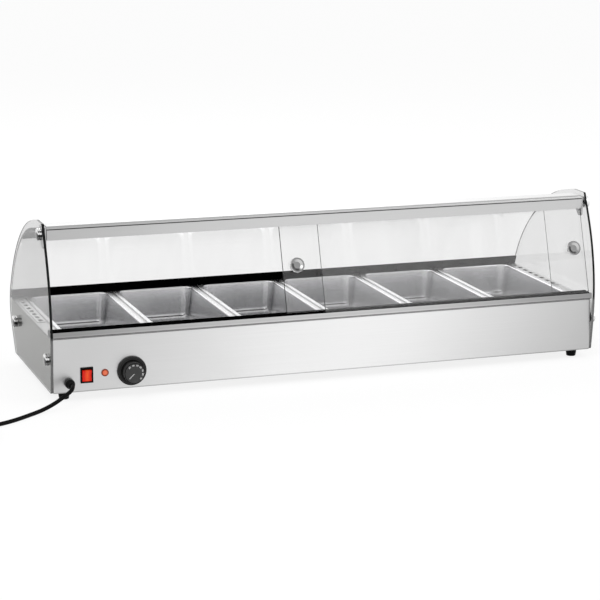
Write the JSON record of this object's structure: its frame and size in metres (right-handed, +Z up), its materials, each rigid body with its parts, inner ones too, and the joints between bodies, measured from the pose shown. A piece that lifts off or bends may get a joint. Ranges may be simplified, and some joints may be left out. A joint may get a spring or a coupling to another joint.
{
  "type": "heated display case",
  "caption": "Heated glass display case for food, with a curved front, sliding doors at the back, lift-out steel pans, a thermostat knob, a lit rocker switch, a pilot lamp and a mains cord.",
  "frame": {"origin": "middle of the case's box, at the surface that its feet stand on", "axes": "+X along the case's length, away from the switch and the cord; -Y towards the operator, who stands at the doors and the controls; +Z up"},
  "size_m": [1.4896, 0.6274, 0.342],
  "materials": {
    "brushed_steel": "stainless sheet, brushed along the case",
    "pan_steel": "drawn stainless sheet, satin with a bright rim",
    "rail_aluminium": "extruded, satin",
    "chrome": "polished plate",
    "clear_glass": "clear float glass with ground edges",
    "black_plastic": "moulded, semi-matt",
    "black_rubber": "matt",
    "red_rocker": "clear red, lit from inside",
    "red_lens": "clear red, lit from inside",
    "heater_alloy": "heat-darkened sheath",
    "copper": "drawn copper tube",
    "white_ceramic": "fired, plain"
  },
  "bodies": {
    "case": {"front_panel": "brushed_steel", "rear_panel": "brushed_steel", "bottom_plate": "brushed_steel", "end_wall_left": "brushed_steel", "end_wall_right": "brushed_steel", "deck": "brushed_steel", "front_sill": "brushed_steel", "lower_track": "black_plastic", "rear_glass_channel": "black_plastic", "top_rail": "rail_aluminium", "rail_bracket_left": "rail_aluminium", "rail_bracket_right": "rail_aluminium", "side_glass_left": "clear_glass", "side_glass_right": "clear_glass", "customer_glass": "clear_glass", "standoff_left_top": "chrome", "standoff_left_front": "chrome", "standoff_left_rear": "chrome", "standoff_right_top": "chrome", "standoff_right_front": "chrome", "standoff_right_rear": "chrome", "crossbar_1": "brushed_steel", "crossbar_2": "brushed_steel", "crossbar_3": "brushed_steel", "crossbar_4": "brushed_steel", "crossbar_5": "brushed_steel", "vent_strip_left": "brushed_steel", "vent_strip_right": "brushed_steel", "heater_left": "heater_alloy", "heater_right": "heater_alloy", "heater_tray": "brushed_steel", "heat_baffle": "brushed_steel", "thermostat_body": "white_ceramic", "thermostat_sensor": "copper", "switch_housing": "black_plastic", "lamp_housing": "red_lens", "lamp_lens": "red_lens", "cord_gland": "black_plastic", "terminal_block": "white_ceramic", "power_cord": "black_rubber", "cord_coil": "black_rubber", "plug": "black_rubber", "foot_front_left": "black_rubber", "foot_front_right": "black_rubber", "foot_rear_left": "black_rubber", "foot_rear_right": "black_rubber"},
    "door_left": {"door_left": "clear_glass", "door_knob_left": "chrome"},
    "door_right": {"door_right": "clear_glass", "door_knob_right": "chrome"},
    "thermostat_knob": {"thermostat_knob": "black_plastic"},
    "switch_rocker": {"switch_rocker": "red_rocker"},
    "pan_1": {"pan_1": "pan_steel"},
    "pan_2": {"pan_2": "pan_steel"},
    "pan_3": {"pan_3": "pan_steel"},
    "pan_4": {"pan_4": "pan_steel"},
    "pan_5": {"pan_5": "pan_steel"},
    "pan_6": {"pan_6": "pan_steel"}
  },
  "joints": [
    {"name": "door_left_slide", "type": "slide", "parent": "case", "child": "door_left", "axis": [1, 0, 0], "range_m": [-0.474, 0.026]},
    {"name": "door_right_slide", "type": "slide", "parent": "case", "child": "door_right", "axis": [1, 0, 0], "range_m": [-0.5, 0]},
    {"name": "thermostat_turn", "type": "hinge", "parent": "case", "child": "thermostat_knob", "pos_m": [-0.415, -0.17988, 0.053], "axis": [0, 1, 0], "range_deg": [-132, 133]},
    {"name": "switch_rock", "type": "hinge", "parent": "case", "child": "switch_rocker", "pos_m": [-0.504, -0.17388, 0.051], "axis": [1, 0, 0], "range_deg": [-14, 0]},
    {"name": "pan_1_lift", "type": "hinge", "parent": "case", "child": "pan_1", "pos_m": [-0.4575, 0.18962, 0.1273], "axis": [-1, 0, 0], "range_deg": [0, 25]},
    {"name": "pan_2_lift", "type": "hinge", "parent": "case", "child": "pan_2", "pos_m": [-0.2745, 0.18962, 0.1273], "axis": [-1, 0, 0], "range_deg": [0, 25]},
    {"name": "pan_3_lift", "type": "hinge", "parent": "case", "child": "pan_3", "pos_m": [-0.0915, 0.18962, 0.1273], "axis": [-1, 0, 0], "range_deg": [0, 25]},
    {"name": "pan_4_lift", "type": "hinge", "parent": "case", "child": "pan_4", "pos_m": [0.0915, 0.18962, 0.1273], "axis": [-1, 0, 0], "range_deg": [0, 25]},
    {"name": "pan_5_lift", "type": "hinge", "parent": "case", "child": "pan_5", "pos_m": [0.2745, 0.18962, 0.1273], "axis": [-1, 0, 0], "range_deg": [0, 25]},
    {"name": "pan_6_lift", "type": "hinge", "parent": "case", "child": "pan_6", "pos_m": [0.4575, 0.18962, 0.1273], "axis": [-1, 0, 0], "range_deg": [0, 25]}
  ]
}
